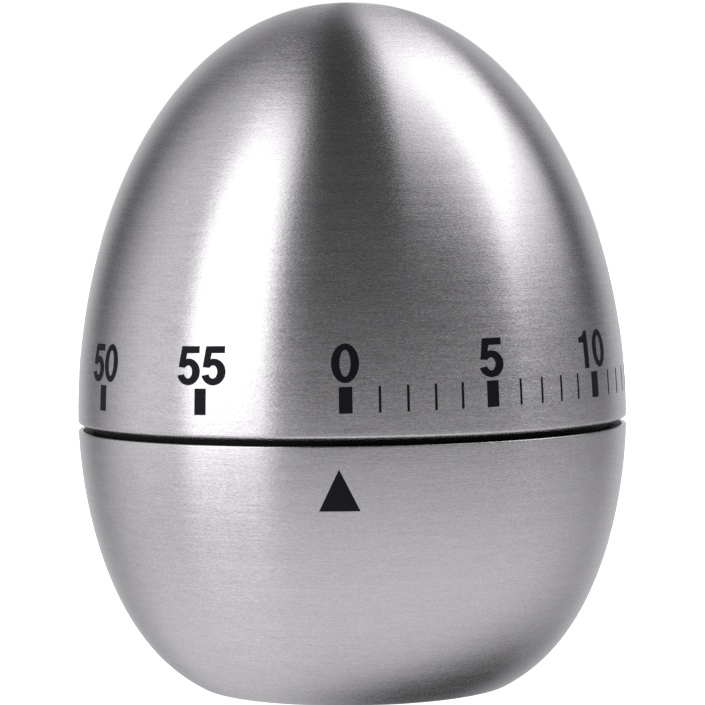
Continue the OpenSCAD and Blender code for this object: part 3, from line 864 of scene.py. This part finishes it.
@dataclass
class PrintedScale:
    """The minute scale on the dome and the pointer on the bowl."""

    case: Case
    start: float = 1.48
    slant: float = 0.0155
    bar_angle: float = 2.65
    tick_angle: float = 0.5
    mark_height: float = 2.7
    mark_middle: float = 33.4
    figure_height: float = 3.9
    figure_gap: float = 0.42
    figure_spacing: float = 0.03
    ink: float = 0.024
    sector: float = 30.0
    ticks_per_sector: int = 4
    ticked_sectors: int = 3
    pointer_width: float = 4.3
    pointer_height: float = 4.3
    pointer_drop: float = 2.3

    def _mark(self, name: str, angle: float) -> bpy.types.Mesh:
        """One flat mark, centred on X = 0."""
        half = math.radians(angle) * self.case.widest / 2
        low = self.mark_middle - self.mark_height / 2
        high = self.mark_middle + self.mark_height / 2
        return print_mesh(name, [[(-half, low), (half, low), (half, high), (-half, high)]], self.ink, 0.7)

    def _finish(self, piece: bpy.types.Object, body: Body) -> bpy.types.Object:
        """Tidies a printed piece and hands it to its body."""
        tidy_mesh(piece.data, False)
        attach(piece, body.value)
        return piece

    def build(self) -> list[bpy.types.Object]:
        """Prints the bars, ticks, figures and pointer."""
        ink = INK.material()
        marks = marks_kit()
        wrap = wrap_kit()
        on_dome = label_values(self.case.dome, self.start, self.slant)
        on_bowl = label_values(self.case.bowl, 0.0, 0.0)
        sector = math.radians(self.sector)
        gaps = self.ticks_per_sector + 1
        white = (self.sector - self.bar_angle - self.ticks_per_sector * self.tick_angle) / gaps
        bars = marks.run(
            "scale_bars",
            self._mark("bar", self.bar_angle),
            {**on_dome, "Sector": sector, "Count": 12, "PerSector": 1, "Material": ink},
        )
        first = math.radians(self.bar_angle / 2 + white + self.tick_angle / 2)
        ticks = marks.run(
            "minute_ticks",
            self._mark("tick", self.tick_angle),
            {
                **on_dome,
                "Sector": sector,
                "First": first,
                "Pitch": math.radians(white + self.tick_angle),
                "Count": self.ticks_per_sector * self.ticked_sectors,
                "PerSector": self.ticks_per_sector,
                "Material": ink,
            },
        )
        figures = wrap.run("scale_figures", self._figures(), {**on_dome, "Material": ink})
        pointer = wrap.run("pointer", self._pointer(), {**on_bowl, "Material": ink})
        made = [self._finish(p, Body.DIAL) for p in (bars, ticks, figures)]
        return made + [self._finish(pointer, Body.BASE)]

    def _figures(self) -> bpy.types.Mesh:
        """All twelve numbers, flat."""
        foot = self.mark_middle + self.mark_height / 2 + self.figure_gap
        outlines = []
        for step in range(12):
            way = math.radians(self.sector * step) * self.case.widest
            outlines += Figure.number(str(5 * step), self.figure_height, (way, foot), self.figure_spacing)
        return print_mesh("figures", outlines, self.ink, 0.5)

    def _pointer(self) -> bpy.types.Mesh:
        """The flat triangle below the rim."""
        tip = self.case.rim - self.pointer_drop
        low = tip - self.pointer_height
        half = self.pointer_width / 2
        return print_mesh("pointer_flat", [[(-half, low), (half, low), (0, tip)]], self.ink, 0.5)


@dataclass
class Movement:
    """The clockwork, cup, base and screws: CAD nodes that keep their shape and take a finish."""

    def dress(self) -> int:
        """Gives every shown CAD node the finish of its slot and returns how many were dressed."""
        made = {slot.value: finish.material() for slot, finish in CAD_FINISHES.items()}
        dressed = 0
        for part in frame["record"]["subparts"]:
            material = made.get(part["material_slot"])
            if material is None:
                continue
            node = frame["nodes"][part["node"]]
            node.data.materials.clear()
            node.data.materials.append(material)
            dressed += 1
        return dressed


# ---------------------------------------------------------------- studio


@dataclass(frozen=True)
class Panel:
    """A soft-edged light in the surround, in degrees: azimuth 0 is in front of the timer, 90 to its right."""

    name: str
    way: float
    half_width: float
    side_edge: float
    low: float
    high: float
    end_edge: float
    strength: float

    def light(self, graph: Graph, azimuth: Wire, elevation: Wire) -> Wire:
        """What the panel adds to the surround in each direction.

        Args:
            graph: The world's graph.
            azimuth: Direction round the timer, in degrees.
            elevation: Direction above the horizon, in degrees.

        Returns:
            Its brightness.
        """
        off = graph.math("ABSOLUTE", graph.math("WRAP", azimuth - self.way, 180.0, -180.0))
        side = 1 - graph.step(off, self.half_width, self.side_edge)
        bottom = graph.step(elevation, self.low, self.end_edge)
        top = 1 - graph.step(elevation, self.high, self.end_edge)
        return side * bottom * top * self.strength


@dataclass(frozen=True)
class Canopy:
    """A soft-edged light overhead, in degrees off the zenith: across to the right, along to the back."""

    name: str
    side: float
    half_width: float
    side_edge: float
    lean: float
    front: float
    back: float
    end_edge: float
    strength: float

    def light(self, graph: Graph, way: tuple[Wire, Wire, Wire]) -> Wire:
        """What the canopy adds to the surround in each direction.

        Args:
            graph: The world's graph.
            way: The direction.

        Returns:
            Its brightness.
        """
        x, y, z = way
        across = graph.math("DEGREES", graph.math("ARCTAN2", x, z))
        along = graph.math("DEGREES", graph.math("ARCTAN2", y, z))
        off = graph.math("ABSOLUTE", across + along * self.lean - self.side)
        over = 1 - graph.step(off, self.half_width, self.side_edge)
        behind_front = graph.step(along, self.front, self.end_edge)
        before_back = 1 - graph.step(along, self.back, self.end_edge)
        return over * (behind_front * before_back) * graph.math("GREATER_THAN", z, 0.0) * self.strength


@dataclass(frozen=True)
class Spot:
    """A soft round patch of the surround, lighter or darker, in degrees."""

    name: str
    way: float
    height: float
    radius: float
    edge: float
    strength: float

    def light(self, graph: Graph, way: tuple[Wire, Wire, Wire]) -> Wire:
        """What the patch adds to the surround in each direction.

        Args:
            graph: The world's graph.
            way: The direction.

        Returns:
            Its brightness.
        """
        x, y, z = way
        turn, lift = math.radians(self.way), math.radians(self.height)
        right, front, up = math.sin(turn) * math.cos(lift), math.cos(turn) * math.cos(lift), math.sin(lift)
        ahead = x * right - y * front + z * up
        off = graph.math("DEGREES", graph.math("ARCCOSINE", ahead))
        return (1 - graph.step(off, self.radius, self.edge)) * self.strength


# A highlight seen at an angle off the middle comes from a light at about twice that angle.
PANELS = (
    Panel("window", -51, 19, 5, -5, 60, 15, 1.5),
    Panel("window_wall", -75, 40, 25, -10, 60, 10, 0.7),
    Panel("softbox", 106, 22, 8, 20, 80, 10, 1.5),
    Panel("back_wall", 180, 35, 15, -10, 40, 20, 0.7),
)
PATCHES = (
    Canopy("ceiling", 38, 25, 3, 0.36, -30, 45, 5, 0.9),
    Spot("table_shadow", 150, -55, 25, 15, -0.8),
)
ROOM_TONES = ((-90, 0.7), (-35, 0.85), (-10, 0.45), (5, 0.1), (90, 0.05))


@dataclass
class Studio:
    """Pale floor, soft surround and the camera, in metres and degrees."""

    distance: float = 0.35774
    eye_height: float = 0.05506
    azimuth: float = 2.7
    pitch: float = 2.94
    roll: float = 0.8
    side_step: float = 0.00012
    lens: float = 166.65
    sensor: float = 36.0
    floor_size: float = 6.0
    floor_glow: float = 1.0

    def build(self) -> None:
        """Sets up the whole studio."""
        self._floor()
        self._surround()
        self._camera()

    def _floor(self) -> None:
        """A wide pale floor that glows a little, so that it stays near white."""
        mesh = bpy.data.meshes.new("floor")
        half = self.floor_size / 2
        corners = [(-half, -half, 0), (half, -half, 0), (half, half, 0), (-half, half, 0)]
        mesh.from_pydata(corners, [], [(0, 1, 2, 3)])
        floor = bpy.data.objects.new("floor", mesh)
        floor.visible_glossy = False
        bpy.context.scene.collection.objects.link(floor)
        paint = bpy.data.materials.new("floor_paint")
        paint.use_nodes = True
        shader = paint.node_tree.nodes["Principled BSDF"]
        shader.inputs["Base Color"].default_value = (0.85, 0.85, 0.85, 1)
        shader.inputs["Roughness"].default_value = 0.9
        shader.inputs["Specular IOR Level"].default_value = 0.0
        shader.inputs["Emission Color"].default_value = (1, 1, 1, 1)
        shader.inputs["Emission Strength"].default_value = self.floor_glow
        mesh.materials.append(paint)

    def _surround(self) -> None:
        """The room that the steel reflects: soft panels over a base tone; white to look at."""
        world = bpy.data.worlds.new("surround")
        world.use_nodes = True
        world.node_tree.nodes.clear()
        graph = Graph(world.node_tree)
        x, y, z = graph.split(graph.out("ShaderNodeTexCoord", output="Generated"))
        azimuth = graph.math("DEGREES", graph.math("ARCTAN2", x, y * -1))
        elevation = graph.math("DEGREES", graph.math("ARCSINE", z))
        stops = [((height + 90) / 180, tone) for height, tone in ROOM_TONES]
        ramp = graph.out("ShaderNodeValToRGB", {"stops": stops}, {0: elevation / 180 + 0.5})
        total = graph.math("ADD", ramp, 0.0)
        for panel in PANELS:
            total = total + panel.light(graph, azimuth, elevation)
        for patch in PATCHES:
            total = total + patch.light(graph, (x, y, z))
        total = graph.math("MAXIMUM", total, 0.0)
        felt = graph.node("ShaderNodeBackground", inputs={"Strength": total})
        seen = graph.node("ShaderNodeBackground", inputs={"Color": (1, 1, 1, 1), "Strength": 1.0})
        felt.inputs["Color"].default_value = (1, 1, 1, 1)
        direct = graph.out("ShaderNodeLightPath", output="Is Camera Ray")
        shown = {0: direct, 1: Wire(graph, felt.outputs[0]), 2: Wire(graph, seen.outputs[0])}
        both = graph.out("ShaderNodeMixShader", inputs=shown)
        graph.node("ShaderNodeOutputWorld", inputs={0: both})
        bpy.context.scene.world = world
        bpy.context.scene.view_settings.view_transform = "Standard"

    def _camera(self) -> None:
        """The camera, slightly above the object and a hair to its right."""
        data = bpy.data.cameras.new("camera")
        data.lens = self.lens
        data.sensor_width = self.sensor
        data.clip_start = 0.01
        data.clip_end = 20
        camera = bpy.data.objects.new("camera", data)
        bpy.context.scene.collection.objects.link(camera)
        way = math.radians(self.azimuth)
        across = Vector((math.cos(way), math.sin(way), 0)) * self.side_step
        away = Vector((math.sin(way), -math.cos(way), 0)) * self.distance
        camera.location = across + away + Vector((0, 0, self.eye_height))
        camera.rotation_mode = "QUATERNION"
        facing = Quaternion((0, 0, 1), way) @ Quaternion((1, 0, 0), math.radians(90 - self.pitch))
        camera.rotation_quaternion = facing @ Quaternion((0, 0, 1), math.radians(-self.roll))
        bpy.context.scene.camera = camera


def main() -> None:
    """Builds the sub-assemblies in order and reports how many movement nodes were dressed."""
    logging.basicConfig(level=logging.INFO, format="%(name)s: %(message)s")
    case = Case()
    for piece in SteelShells(case).build() + PrintedScale(case).build():
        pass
    LOG.info("movement: %d nodes dressed", Movement().dress())
    Studio().build()


if __name__ == "__main__":
    main()
